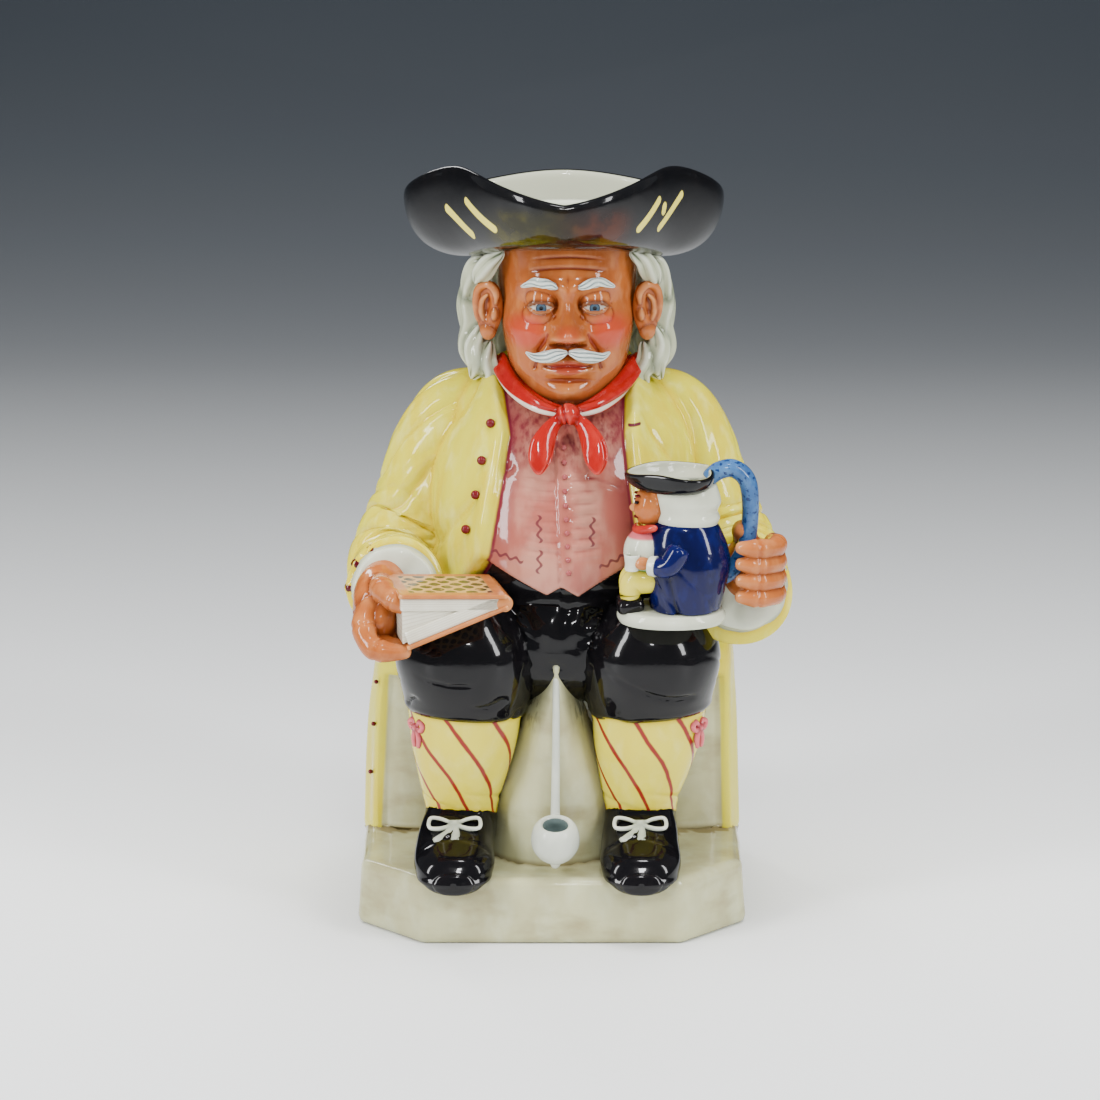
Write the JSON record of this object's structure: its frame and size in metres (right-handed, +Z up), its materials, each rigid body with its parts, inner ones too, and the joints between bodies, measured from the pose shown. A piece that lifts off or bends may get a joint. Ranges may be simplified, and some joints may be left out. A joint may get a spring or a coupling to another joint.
{
  "type": "toby jug",
  "caption": "Glazed earthenware figure jug: a stout seated gentleman with an open book and a small jug, its three-cornered hat the mouth, with a loop handle at the back.",
  "frame": {"origin": "centre of the underside of the plinth, on the surface that the jug stands on", "axes": "+Z up, the figure faces -Y, +X towards the figure's left hand, the one that holds the small jug"},
  "size_m": [0.1337, 0.1448, 0.2295],
  "materials": {
    "glazed_earthenware": "hand-painted under a clear gloss glaze"
  },
  "bodies": {
    "root": {"toby_jug": "glazed_earthenware"}
  },
  "joints": []
}
